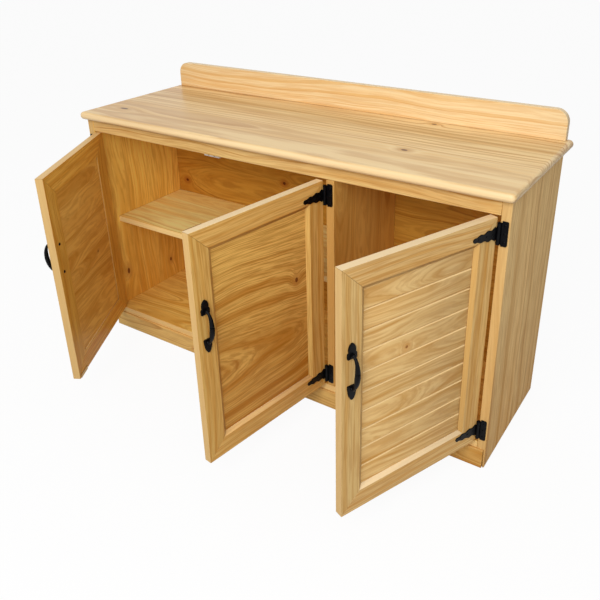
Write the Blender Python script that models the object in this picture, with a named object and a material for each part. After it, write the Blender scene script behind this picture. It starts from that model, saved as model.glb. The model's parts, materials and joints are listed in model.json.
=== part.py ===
"""Pine sideboard: a double bay and a single bay behind three inset doors, shown with the doors ajar.

The front faces -Y, +Z is up, and the origin is under the plinth, in the plane of the sides' front edges.
Lengths are in metres.
"""
from math import cos, pi, radians, sin, sqrt

import bmesh
import bpy
from mathutils import Vector

# Overall sizes of the carcass
CARCASS_WIDTH = 1.300
SIDE_DEPTH = 0.376
PLINTH_HEIGHT = 0.0535
DOOR_BAY_HEIGHT = 0.600
TOP_RAIL_HEIGHT = 0.037

# Board thicknesses
SIDE_THICKNESS = 0.022
PARTITION_THICKNESS = 0.022
BOTTOM_THICKNESS = 0.020
SHELF_THICKNESS = 0.018
BACK_THICKNESS = 0.010
FRONT_RAIL_DEPTH = 0.040
BACK_RAIL_DEPTH = 0.022
PLINTH_THICKNESS = 0.022
TOP_THICKNESS = 0.022
BACKSPLASH_THICKNESS = 0.020

# Overhangs, setbacks and housings
TOP_FRONT_OVERHANG = 0.021
TOP_END_OVERHANG = 0.010
TOP_BACK_OVERHANG = 0.045
TOP_CORNER_RADIUS = 0.012
BACKSPLASH_HEIGHT = 0.078
BACKSPLASH_END_SETBACK = 0.0155
BACKSPLASH_CORNER_RADIUS = 0.034
PLINTH_PROUD = 0.006
PLINTH_END_SETBACK = 0.005
SHELF_RISE = 0.3065
SHELF_SETBACK = 0.048
HOUSING_DEPTH = 0.006
BACK_INSET = 0.034
BACK_GROOVE_DEPTH = 0.008
EDGE_EASE = 0.0012

# Doors
DOOR_THICKNESS = 0.020
DOOR_GAP = 0.002
FRAME_WIDTH = 0.058
FRAME_BEVEL_WIDTH = 0.010
FRAME_BEVEL_DEPTH = 0.007
PANEL_THICKNESS = 0.009
PANEL_RECESS = 0.008
PANEL_TONGUE = 0.008
PANEL_BOARDS = 10
GROOVE_WIDTH = 0.005
GROOVE_DEPTH = 0.0025
LEFT_OPEN = radians(61)
MIDDLE_OPEN = radians(81)
RIGHT_OPEN = radians(68)

# T-hinges
HINGE_INSET = 0.037
BARREL_RADIUS = 0.0044
BARREL_LENGTH = 0.050
STRAP_KNUCKLE = 0.028
PIN_RADIUS = 0.0020
PIN_HEAD_RADIUS = 0.0034
PIN_HEAD_HEIGHT = 0.0015
HINGE_PLATE = 0.0020
LEAF_WIDTH = 0.0195
LEAF_HEIGHT = 0.058
LEAF_CORNER = 0.004
STRAP_LENGTH = 0.066
STRAP_ROOT_HEIGHT = 0.033
STRAP_TIP_HEIGHT = 0.011
STRAP_SCALLOPS = 3
STRAP_SCALLOP_DEPTH = 0.16
STRAP_ROUNDED_END = 0.0066
BARREL_STANDOFF = 0.0004

# Bow pulls
HANDLE_RISE = 0.3685
HANDLE_EDGE_DISTANCE = 0.024
HANDLE_SCREW_SPACING = 0.080
HANDLE_REACH = 0.027
GRIP_END_RADIUS = 0.0044
GRIP_MIDDLE_RADIUS = 0.0064
ROSETTE_THICKNESS = 0.003
TOP_ROSETTE_LENGTH = 0.0265
TOP_ROSETTE_WIDTH = 0.021
BOTTOM_ROSETTE_LENGTH = 0.026
BOTTOM_ROSETTE_WIDTH = 0.018
ROSETTE_FULLNESS = 0.72
ROSETTE_NARROWING = 0.25
SCREW_RADIUS = 0.0020
SCREW_HEAD_RADIUS = 0.0042
SCREW_HEAD_HEIGHT = 0.0022
SCREW_ENGAGEMENT = 0.006

# Magnetic catches and their strikes
CATCH_LENGTH = 0.054
CATCH_DEPTH = 0.014
CATCH_HEIGHT = 0.013
CATCH_FREE_EDGE_OFFSET = 0.029
STRIKE_LENGTH = 0.046
STRIKE_HEIGHT = 0.011
STRIKE_THICKNESS = 0.0012

# Clearances
SEAT = 0.0003
PIN_CLEARANCE = 0.0003
KNUCKLE_CLEARANCE = 0.0012

# Facets of round pieces
ROUND_SIDES = 16
GRIP_SIDES = 12
GRIP_STEPS = 24
ARC_STEPS = 5
CORNER_STEPS = 10
ROSETTE_STEPS = 14
STRAP_STEPS = 30

# Heights and places that follow from the sizes above
BOTTOM_TOP = PLINTH_HEIGHT + BOTTOM_THICKNESS
RAIL_UNDERSIDE = BOTTOM_TOP + DOOR_BAY_HEIGHT
TOP_UNDERSIDE = RAIL_UNDERSIDE + TOP_RAIL_HEIGHT
TOP_SURFACE = TOP_UNDERSIDE + TOP_THICKNESS
HALF_WIDTH = CARCASS_WIDTH / 2
INNER_HALF = HALF_WIDTH - SIDE_THICKNESS
BACK_FACE = SIDE_DEPTH - BACK_INSET - BACK_THICKNESS
BACK_REAR = BACK_FACE + BACK_THICKNESS
DOUBLE_BAY_GAPS = 3
SINGLE_BAY_GAPS = 2
DOOR_GAPS = DOUBLE_BAY_GAPS + SINGLE_BAY_GAPS
DOOR_WIDTH = (2 * INNER_HALF - PARTITION_THICKNESS - DOOR_GAPS * DOOR_GAP) / 3
PARTITION_LEFT = -INNER_HALF + 2 * DOOR_WIDTH + DOUBLE_BAY_GAPS * DOOR_GAP
PARTITION_RIGHT = PARTITION_LEFT + PARTITION_THICKNESS
DOOR_BOTTOM = BOTTOM_TOP + DOOR_GAP
DOOR_TOP = RAIL_UNDERSIDE - DOOR_GAP
SHELF_TOP = BOTTOM_TOP + SHELF_RISE
HANDLE_CENTRE = DOOR_BOTTOM + HANDLE_RISE
AXIS_Y = -(BARREL_RADIUS + BARREL_STANDOFF)
PIN_HOLE_RADIUS = PIN_RADIUS + PIN_CLEARANCE
HANDLE_LINE = DOOR_GAP / 2 + DOOR_WIDTH - HANDLE_EDGE_DISTANCE

HONEY_PINE = (0.62, 0.37, 0.14)
PALE_PINE = (0.68, 0.44, 0.19)
INNER_PINE = (0.50, 0.26, 0.07)
BLACK_METAL = (0.012, 0.012, 0.013)
STEEL = (0.55, 0.55, 0.56)
WHITE_PLASTIC = (0.80, 0.80, 0.78)
VARNISH_ROUGHNESS = 0.38
IRON_ROUGHNESS = 0.42
IRON_METALLIC = 0.7
STEEL_ROUGHNESS = 0.35
PLASTIC_ROUGHNESS = 0.45


def finish(name, colour, roughness, metallic):
    """One Principled material for one piece."""
    material = bpy.data.materials.new(name)
    material.use_nodes = True
    shader = material.node_tree.nodes["Principled BSDF"]
    shader.inputs["Base Color"].default_value = (*colour, 1.0)
    shader.inputs["Roughness"].default_value = roughness
    shader.inputs["Metallic"].default_value = metallic
    return material


def wood(name, colour=HONEY_PINE):
    return finish(name, colour, VARNISH_ROUGHNESS, 0.0)


def ironwork(name):
    return finish(name, BLACK_METAL, IRON_ROUGHNESS, IRON_METALLIC)


def new_object(name, shape, material, parent=None, smooth=False):
    """Turn a bmesh into a named object with its faces pointing out."""
    bmesh.ops.recalc_face_normals(shape, faces=shape.faces)
    mesh = bpy.data.meshes.new(name)
    shape.to_mesh(mesh)
    shape.free()
    if smooth:
        mesh.shade_smooth()
        mesh.set_sharp_from_angle(angle=radians(40))
    if material:
        mesh.materials.append(material)
    piece = bpy.data.objects.new(name, mesh)
    bpy.context.scene.collection.objects.link(piece)
    piece.parent = parent
    return piece


def box_shape(low, high):
    """A closed box between two corners."""
    shape = bmesh.new()
    bmesh.ops.create_cube(shape, size=1.0)
    for vertex in shape.verts:
        vertex.co = Vector([low[i] + (vertex.co[i] + 0.5) * (high[i] - low[i]) for i in range(3)])
    return shape


def ease(shape, width, keep=None):
    """Break the arrises of a board. keep picks the edges, by default all of them."""
    edges = [edge for edge in shape.edges if keep is None or keep(edge)]
    bmesh.ops.bevel(shape, geom=edges, offset=width, segments=1, affect="EDGES", profile=0.5)


def board(name, low, high, material, parent=None, eased=EDGE_EASE):
    shape = box_shape(low, high)
    if eased:
        ease(shape, eased)
    return new_object(name, shape, material, parent)


def prism_shape(outline, start, end):
    """Extrude a closed outline of 3-D points: start and end map one outline point to its two ends."""
    shape = bmesh.new()
    first = [shape.verts.new(start(point)) for point in outline]
    last = [shape.verts.new(end(point)) for point in outline]
    shape.faces.new(first)
    shape.faces.new(last)
    count = len(outline)
    for i in range(count):
        follow = (i + 1) % count
        shape.faces.new((first[i], first[follow], last[follow], last[i]))
    return shape


def cylinder_shape(centre_x, centre_y, radius, low, high, sides=ROUND_SIDES):
    """An upright round bar, its facets turned so that a flat faces the board behind it."""
    turn = pi / sides
    angles = [turn + 2 * pi * i / sides for i in range(sides)]
    outline = [(centre_x + radius * cos(a), centre_y + radius * sin(a)) for a in angles]
    return prism_shape(outline, lambda p: (*p, low), lambda p: (*p, high))


def bolt_shape(centre_x, centre_z, radius, front, back, sides=ROUND_SIDES):
    """A round bar that lies along Y."""
    angles = [2 * pi * i / sides for i in range(sides)]
    outline = [(centre_x + radius * cos(a), centre_z + radius * sin(a)) for a in angles]
    return prism_shape(outline, lambda p: (p[0], front, p[1]), lambda p: (p[0], back, p[1]))


def combine(piece, shape, operation):
    """Cut or join another closed shape, kept as a hidden tool beside the piece."""
    tool = new_object(piece.name + "_tool", shape, None, piece.parent)
    tool.hide_render = True
    tool.display_type = "WIRE"
    modifier = piece.modifiers.new(operation.lower(), "BOOLEAN")
    modifier.operation = operation
    modifier.object = tool
    modifier.solver = "EXACT"


def cut(piece, low, high):
    combine(piece, box_shape(low, high), "DIFFERENCE")


def make_top():
    """The top board, its front corners rounded and its edges a full nose, and the upright behind it."""
    half = HALF_WIDTH + TOP_END_OVERHANG
    back = SIDE_DEPTH + TOP_BACK_OVERHANG
    shape = box_shape((-half, -TOP_FRONT_OVERHANG, TOP_UNDERSIDE), (half, back, TOP_SURFACE))

    def is_level(edge):
        return abs(edge.verts[0].co.z - edge.verts[1].co.z) < SEAT

    def is_at_back(edge):
        return all(abs(vertex.co.y - back) < SEAT for vertex in edge.verts)

    corners = [edge for edge in shape.edges if not is_level(edge) and not is_at_back(edge)]
    bmesh.ops.bevel(shape, geom=corners, offset=TOP_CORNER_RADIUS, segments=ARC_STEPS, affect="EDGES",
                    profile=0.5)
    nose = [edge for edge in shape.edges if is_level(edge) and not is_at_back(edge)]
    radius = TOP_THICKNESS / 2 - SEAT
    bmesh.ops.bevel(shape, geom=nose, offset=radius, segments=ARC_STEPS, affect="EDGES", profile=0.5)
    new_object("top_board", shape, wood("top_board_pine", PALE_PINE), smooth=True)

    reach = half - BACKSPLASH_END_SETBACK
    low = TOP_SURFACE + SEAT
    high = TOP_SURFACE + BACKSPLASH_HEIGHT
    bend = BACKSPLASH_CORNER_RADIUS
    quarter = [pi / 2 * i / CORNER_STEPS for i in range(CORNER_STEPS + 1)]
    right = [(reach - bend + bend * cos(a), high - bend + bend * sin(a)) for a in quarter]
    left = [(-x, z) for x, z in reversed(right)]
    outline = [(-reach, low), (reach, low)] + right + left
    front = back - BACKSPLASH_THICKNESS
    shape = prism_shape(outline, lambda p: (p[0], front, p[1]), lambda p: (p[0], back, p[1]))
    new_object("backsplash", shape, wood("backsplash_pine", PALE_PINE))


def make_side(name, hand):
    """A side panel, notched for the plinth, housed for the shelf and grooved for the back."""
    inner = hand * INNER_HALF
    outer = hand * HALF_WIDTH
    side = board(name, (min(inner, outer), 0, 0), (max(inner, outer), SIDE_DEPTH, TOP_UNDERSIDE - SEAT),
                 wood(name + "_pine"), eased=0)

    def cut_inner_face(depth, y_span, z_span):
        beyond = inner - hand * SIDE_THICKNESS
        floor = inner + hand * depth
        cut(side, (min(beyond, floor), y_span[0], z_span[0]), (max(beyond, floor), y_span[1], z_span[1]))

    notch = SIDE_THICKNESS - PLINTH_END_SETBACK + SEAT
    below = -PLINTH_HEIGHT
    above = 2 * TOP_UNDERSIDE
    plinth_back = PLINTH_THICKNESS - PLINTH_PROUD + SEAT
    cut_inner_face(notch, (-SIDE_DEPTH, plinth_back), (below, PLINTH_HEIGHT + SEAT))
    cut_inner_face(BACK_GROOVE_DEPTH, (BACK_FACE - SEAT, BACK_REAR + SEAT), (PLINTH_HEIGHT, above))
    if hand < 0:
        shelf_span = (SHELF_TOP - SHELF_THICKNESS - SEAT, SHELF_TOP + SEAT)
        cut_inner_face(HOUSING_DEPTH, (SHELF_SETBACK - SEAT, BACK_REAR), shelf_span)


def make_carcass_boards():
    """Partition, bottom, back, rails, plinth and shelf."""
    inside = INNER_HALF - SEAT
    partition = board("centre_partition", (PARTITION_LEFT, 0, BOTTOM_TOP + SEAT),
                      (PARTITION_RIGHT, BACK_FACE - SEAT, TOP_UNDERSIDE - SEAT),
                      wood("partition_pine"), eased=0)
    left = PARTITION_LEFT - PARTITION_THICKNESS
    right = PARTITION_RIGHT + PARTITION_THICKNESS
    notch_low = RAIL_UNDERSIDE - SEAT
    notch_high = 2 * TOP_UNDERSIDE
    back_notch = BACK_FACE - BACK_RAIL_DEPTH - 2 * SEAT
    cut(partition, (left, -SIDE_DEPTH, notch_low), (right, FRONT_RAIL_DEPTH + SEAT, notch_high))
    cut(partition, (left, back_notch, notch_low), (right, SIDE_DEPTH, notch_high))
    cut(partition, (left, SHELF_SETBACK - SEAT, SHELF_TOP - SHELF_THICKNESS - SEAT),
        (PARTITION_LEFT + HOUSING_DEPTH, SIDE_DEPTH, SHELF_TOP + SEAT))

    board("bottom_board", (-inside, 0, PLINTH_HEIGHT + 2 * SEAT), (inside, BACK_FACE - SEAT, BOTTOM_TOP),
          wood("bottom_pine", INNER_PINE), eased=0)
    reach = INNER_HALF + BACK_GROOVE_DEPTH - SEAT
    board("back_panel", (-reach, BACK_FACE, PLINTH_HEIGHT + SEAT), (reach, BACK_REAR, TOP_UNDERSIDE - SEAT),
          wood("back_pine", INNER_PINE), eased=0)
    board("top_front_rail", (-inside, 0, RAIL_UNDERSIDE), (inside, FRONT_RAIL_DEPTH, TOP_UNDERSIDE - SEAT),
          wood("front_rail_pine"))
    board("top_back_rail", (-inside, BACK_FACE - BACK_RAIL_DEPTH - SEAT, RAIL_UNDERSIDE),
          (inside, BACK_FACE - SEAT, TOP_UNDERSIDE - SEAT), wood("back_rail_pine", INNER_PINE))
    plinth_end = HALF_WIDTH - PLINTH_END_SETBACK
    plinth_back = PLINTH_THICKNESS - PLINTH_PROUD
    board("plinth", (-plinth_end, -PLINTH_PROUD, 0), (plinth_end, plinth_back, PLINTH_HEIGHT),
          wood("plinth_pine"))
    board("shelf", (-INNER_HALF - HOUSING_DEPTH + SEAT, SHELF_SETBACK, SHELF_TOP - SHELF_THICKNESS),
          (PARTITION_LEFT + HOUSING_DEPTH - SEAT, BACK_FACE - SEAT, SHELF_TOP),
          wood("shelf_pine", INNER_PINE))


def mitred_member(name, length, place, material, door):
    """One side of a door frame: a bevelled and grooved section with its ends cut at 45 degrees.

    place maps (distance along, distance in from the outer edge, depth behind the front) to a point.
    """
    lip = PANEL_RECESS - SEAT
    groove_back = PANEL_RECESS + PANEL_THICKNESS + SEAT
    groove_floor = FRAME_WIDTH - PANEL_TONGUE - SEAT
    section = [(0, 0), (FRAME_WIDTH - FRAME_BEVEL_WIDTH, 0), (FRAME_WIDTH, FRAME_BEVEL_DEPTH),
               (FRAME_WIDTH, lip), (groove_floor, lip), (groove_floor, groove_back),
               (FRAME_WIDTH, groove_back), (FRAME_WIDTH, DOOR_THICKNESS), (0, DOOR_THICKNESS)]
    shape = prism_shape(section, lambda p: place(p[0] + SEAT, *p),
                        lambda p: place(length - p[0] - SEAT, *p))
    return new_object(name, shape, material, door)


def panel_shape(hand, grooved):
    """The door's panel, with V-grooves between its boards where it is grooved."""
    margin = FRAME_WIDTH - PANEL_TONGUE
    near = DOOR_GAP / 2 + margin
    far = DOOR_GAP / 2 + DOOR_WIDTH - margin
    low = DOOR_BOTTOM + margin
    high = DOOR_TOP - margin
    front = PANEL_RECESS - AXIS_Y
    back = front + PANEL_THICKNESS
    outline = [(back, high), (back, low), (front, low)]
    if grooved:
        first = DOOR_BOTTOM + FRAME_WIDTH
        pitch = (DOOR_TOP - DOOR_BOTTOM - 2 * FRAME_WIDTH) / PANEL_BOARDS
        for i in range(1, PANEL_BOARDS):
            middle = first + i * pitch
            outline += [(front, middle - GROOVE_WIDTH / 2), (front + GROOVE_DEPTH, middle),
                        (front, middle + GROOVE_WIDTH / 2)]
    outline.append((front, high))
    return prism_shape(outline, lambda p: (hand * near, *p), lambda p: (hand * far, *p))


def strap_half_height(along):
    """Half the strap's height at a distance from its root: a taper with scallops and a leaf at the tip."""
    share = along / STRAP_LENGTH
    taper = STRAP_ROOT_HEIGHT * (1 - share) + STRAP_TIP_HEIGHT * share
    ripple = (1 + STRAP_SCALLOP_DEPTH * cos(2 * pi * STRAP_SCALLOPS * share)) / (1 + STRAP_SCALLOP_DEPTH)
    into_end = max(0.0, along - STRAP_LENGTH + STRAP_ROUNDED_END) / STRAP_ROUNDED_END
    return taper / 2 * ripple * sqrt(max(0.0, 1 - into_end ** 2))


def make_strap(name, hand, height, door):
    """The door half of a T-hinge: a tapering strap on the frame, rolled into the middle knuckle."""
    root = BARREL_RADIUS + KNUCKLE_CLEARANCE
    tongue = STRAP_KNUCKLE / 2
    travel = [i * STRAP_LENGTH / STRAP_STEPS for i in range(STRAP_STEPS + 1)]
    upper = [(root + d, strap_half_height(d)) for d in travel]
    lower = [(s, -h) for s, h in reversed(upper[:-1])]
    outline = [(0, -tongue), (0, tongue), (root, tongue)] + upper + lower + [(root, -tongue)]
    back = -AXIS_Y - SEAT
    front = back - HINGE_PLATE
    shape = prism_shape(outline, lambda p: (hand * p[0], front, height + p[1]),
                        lambda p: (hand * p[0], back, height + p[1]))
    strap = new_object(name, shape, ironwork(name + "_black"), door)
    combine(strap, cylinder_shape(0, 0, BARREL_RADIUS, height - tongue, height + tongue), "UNION")
    reach = BARREL_LENGTH
    combine(strap, cylinder_shape(0, 0, PIN_HOLE_RADIUS, height - reach, height + reach), "DIFFERENCE")


def make_leaf_and_pin(label, axis_x, hand, height):
    """The stile half of a T-hinge, with its two outer knuckles, and the pin that joins the halves."""
    away = -hand
    middle = STRAP_KNUCKLE / 2 + SEAT
    end = BARREL_LENGTH / 2
    inner = BARREL_RADIUS + KNUCKLE_CLEARANCE
    notch = BARREL_RADIUS + SEAT
    half = LEAF_HEIGHT / 2
    corner_u = LEAF_WIDTH - LEAF_CORNER
    corner_z = half - LEAF_CORNER
    quarter = [pi / 2 * i / ARC_STEPS for i in range(ARC_STEPS + 1)]
    upper = [(corner_u + LEAF_CORNER * sin(a), corner_z + LEAF_CORNER * cos(a)) for a in quarter]
    lower = [(u, -z) for u, z in reversed(upper)]
    outline = [(0, middle), (0, end), (inner, end), (inner, half)] + upper + lower
    outline += [(inner, -half), (inner, -end), (0, -end), (0, -middle), (notch, -middle), (notch, middle)]
    front = -SEAT - HINGE_PLATE
    shape = prism_shape(outline, lambda p: (axis_x + away * p[0], front, height + p[1]),
                        lambda p: (axis_x + away * p[0], -SEAT, height + p[1]))
    name = "hinge_leaf_" + label
    leaf = new_object(name, shape, ironwork(name + "_black"))
    for low, high in ((middle, end), (-end, -middle)):
        knuckle = cylinder_shape(axis_x, AXIS_Y, BARREL_RADIUS, height + low, height + high)
        combine(leaf, knuckle, "UNION")
    hole = cylinder_shape(axis_x, AXIS_Y, PIN_HOLE_RADIUS, height - 2 * end, height + 2 * end)
    combine(leaf, hole, "DIFFERENCE")

    shank = cylinder_shape(0, 0, PIN_RADIUS, -end, end + SEAT + PIN_HEAD_HEIGHT / 2)
    name = "hinge_pin_" + label
    pin = new_object(name, shank, ironwork(name + "_black"), smooth=True)
    pin.location = (axis_x, AXIS_Y, height)
    head_low = height + end + SEAT
    head = cylinder_shape(axis_x, AXIS_Y, PIN_HEAD_RADIUS, head_low, head_low + PIN_HEAD_HEIGHT)
    combine(pin, head, "UNION")


def rosette_shape(hand, foot, point, width, length):
    """A leaf-shaped foot of the pull: round at the grip and drawn out to a point."""
    back = -AXIS_Y - SEAT
    front = back - ROSETTE_THICKNESS
    rounded = width / 2
    right = []
    for i in range(1, ROSETTE_STEPS):
        share = i / ROSETTE_STEPS
        along = -rounded + share * (length + rounded)
        swell = sqrt(sin(pi * share ** ROSETTE_FULLNESS))
        right.append((rounded * swell * (1 - ROSETTE_NARROWING * share), along))
    left = [(-u, v) for u, v in reversed(right)]
    outline = [(0, -rounded)] + right + [(0, length)] + left
    centre = hand * HANDLE_LINE

    def at(depth):
        return lambda p: (centre + p[0], depth, foot + point * p[1])

    return prism_shape(outline, at(front), at(back))


def make_handle(side, hand, door):
    """The bow pull, and the two screws that hold it through the free stile."""
    name = side + "_handle"
    half = HANDLE_SCREW_SPACING / 2
    base = -AXIS_Y - SEAT - ROSETTE_THICKNESS / 2
    middle = -AXIS_Y - HANDLE_REACH + GRIP_MIDDLE_RADIUS
    centre = hand * HANDLE_LINE
    shape = bmesh.new()
    rings = []
    for i in range(GRIP_STEPS + 1):
        turn = pi * i / GRIP_STEPS
        spine = Vector((centre, base + (middle - base) * sin(turn), HANDLE_CENTRE + half * cos(turn)))
        tangent = Vector((0, (middle - base) * cos(turn), -half * sin(turn))).normalized()
        across = Vector((1, 0, 0))
        outward = tangent.cross(across)
        radius = GRIP_END_RADIUS + (GRIP_MIDDLE_RADIUS - GRIP_END_RADIUS) * sin(turn) ** 2
        angles = [2 * pi * k / GRIP_SIDES for k in range(GRIP_SIDES)]
        around = [spine + radius * (cos(a) * across + sin(a) * outward) for a in angles]
        rings.append([shape.verts.new(point) for point in around])
    for ring, follow in zip(rings, rings[1:]):
        for k in range(GRIP_SIDES):
            after = (k + 1) % GRIP_SIDES
            shape.faces.new((ring[k], ring[after], follow[after], follow[k]))
    shape.faces.new(rings[0])
    shape.faces.new(rings[-1])
    handle = new_object(name, shape, ironwork(name + "_black"), door, smooth=True)
    top = rosette_shape(hand, HANDLE_CENTRE + half, 1, TOP_ROSETTE_WIDTH, TOP_ROSETTE_LENGTH)
    bottom = rosette_shape(hand, HANDLE_CENTRE - half, -1, BOTTOM_ROSETTE_WIDTH, BOTTOM_ROSETTE_LENGTH)
    combine(handle, top, "UNION")
    combine(handle, bottom, "UNION")

    stile = bpy.data.objects[side + "_free_stile"]
    face = -AXIS_Y
    inside = face + DOOR_THICKNESS
    tip = face - SCREW_ENGAGEMENT + SEAT
    for label, height in (("top", HANDLE_CENTRE + half), ("bottom", HANDLE_CENTRE - half)):
        bore = SCREW_RADIUS + PIN_CLEARANCE
        combine(handle, bolt_shape(centre, height, bore, face - SCREW_ENGAGEMENT, inside), "DIFFERENCE")
        combine(stile, bolt_shape(centre, height, bore, face - DOOR_THICKNESS, inside + DOOR_THICKNESS),
                "DIFFERENCE")
        head_face = inside + SEAT
        shank = bolt_shape(centre, height, SCREW_RADIUS, tip, head_face + SCREW_HEAD_HEIGHT / 2)
        name = side + "_handle_screw_" + label
        screw = new_object(name, shank, ironwork(name + "_black"), door, smooth=True)
        head = bolt_shape(centre, height, SCREW_HEAD_RADIUS, head_face, head_face + SCREW_HEAD_HEIGHT)
        combine(screw, head, "UNION")


def make_door(side, axis_x, hand, opened, grooved, catch_at_top):
    """One door with its hinges, hung on an empty on the hinge axis and running hand-wards from it."""
    door = bpy.data.objects.new(side + "_hinge_axis", None)
    door.location = (axis_x, AXIS_Y, 0)
    door.rotation_euler.z = -hand * opened
    bpy.context.scene.collection.objects.link(door)
    near = DOOR_GAP / 2
    far = near + DOOR_WIDTH
    height = DOOR_TOP - DOOR_BOTTOM

    def member(label, length, place):
        name = side + "_" + label
        mitred_member(name, length, place, wood(name + "_pine"), door)

    member("hinge_stile", height, lambda s, u, d: (hand * (near + u), d - AXIS_Y, DOOR_BOTTOM + s))
    member("free_stile", height, lambda s, u, d: (hand * (far - u), d - AXIS_Y, DOOR_BOTTOM + s))
    member("top_rail", DOOR_WIDTH, lambda s, u, d: (hand * (near + s), d - AXIS_Y, DOOR_TOP - u))
    member("bottom_rail", DOOR_WIDTH, lambda s, u, d: (hand * (near + s), d - AXIS_Y, DOOR_BOTTOM + u))
    new_object(side + "_panel", panel_shape(hand, grooved), wood(side + "_panel_pine"), door)

    for label, z in (("top", DOOR_TOP - HINGE_INSET), ("bottom", DOOR_BOTTOM + HINGE_INSET)):
        make_strap(side + "_strap_" + label, hand, z, door)
        make_leaf_and_pin(side + "_" + label, axis_x, hand, z)
    make_handle(side, hand, door)

    catch_centre = far - CATCH_FREE_EDGE_OFFSET
    back = DOOR_THICKNESS - AXIS_Y + SEAT
    if catch_at_top:
        plate_middle = RAIL_UNDERSIDE - SEAT - CATCH_HEIGHT / 2
        catch_low = RAIL_UNDERSIDE - SEAT - CATCH_HEIGHT
    else:
        plate_middle = BOTTOM_TOP + SEAT + CATCH_HEIGHT / 2
        catch_low = BOTTOM_TOP + SEAT
    ends = sorted(hand * (catch_centre + half) for half in (-STRIKE_LENGTH / 2, STRIKE_LENGTH / 2))
    board(side + "_strike", (ends[0], back, plate_middle - STRIKE_HEIGHT / 2),
          (ends[1], back + STRIKE_THICKNESS, plate_middle + STRIKE_HEIGHT / 2),
          finish(side + "_strike_steel", STEEL, STEEL_ROUGHNESS, 1.0), door, eased=0)
    catch_front = DOOR_THICKNESS + STRIKE_THICKNESS + 2 * SEAT
    centre_x = axis_x + hand * catch_centre
    board("magnetic_catch_" + side, (centre_x - CATCH_LENGTH / 2, catch_front, catch_low),
          (centre_x + CATCH_LENGTH / 2, catch_front + CATCH_DEPTH, catch_low + CATCH_HEIGHT),
          finish(side + "_catch_white", WHITE_PLASTIC, PLASTIC_ROUGHNESS, 0.0))


for old in list(bpy.data.objects):
    bpy.data.objects.remove(old)

make_top()
make_side("left_side", -1)
make_side("right_side", 1)
make_carcass_boards()
make_door("left", -INNER_HALF + DOOR_GAP / 2, 1, LEFT_OPEN, True, False)
make_door("middle", PARTITION_LEFT - DOOR_GAP / 2, -1, MIDDLE_OPEN, False, True)
make_door("right", INNER_HALF - DOOR_GAP / 2, -1, RIGHT_OPEN, True, False)
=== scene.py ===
import json
import math

import bmesh
import bpy
from mathutils import Matrix, Vector


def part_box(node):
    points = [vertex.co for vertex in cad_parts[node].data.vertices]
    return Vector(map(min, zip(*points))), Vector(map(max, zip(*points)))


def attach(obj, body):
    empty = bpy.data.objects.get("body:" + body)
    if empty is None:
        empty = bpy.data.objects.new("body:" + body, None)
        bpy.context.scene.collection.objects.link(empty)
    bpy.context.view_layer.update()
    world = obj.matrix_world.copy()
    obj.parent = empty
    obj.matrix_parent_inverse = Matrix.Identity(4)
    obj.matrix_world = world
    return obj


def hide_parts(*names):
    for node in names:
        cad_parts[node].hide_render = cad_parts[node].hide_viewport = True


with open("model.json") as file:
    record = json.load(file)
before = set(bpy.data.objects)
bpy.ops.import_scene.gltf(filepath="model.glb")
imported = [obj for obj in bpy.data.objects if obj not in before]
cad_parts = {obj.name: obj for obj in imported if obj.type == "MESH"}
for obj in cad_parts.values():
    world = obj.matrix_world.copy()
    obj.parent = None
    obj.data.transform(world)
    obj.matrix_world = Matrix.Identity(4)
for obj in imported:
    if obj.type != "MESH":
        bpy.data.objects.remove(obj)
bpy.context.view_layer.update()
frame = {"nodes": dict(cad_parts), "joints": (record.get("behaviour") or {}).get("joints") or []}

# The two sides are panels of edge-glued pine staves, planed, sanded and given a thin, dull clear varnish.
# Their front edges show beside the doors as the outer stiles. They are notched round the plinth and
# grooved for the back, and their arrises are rubbed round with sandpaper.


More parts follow.
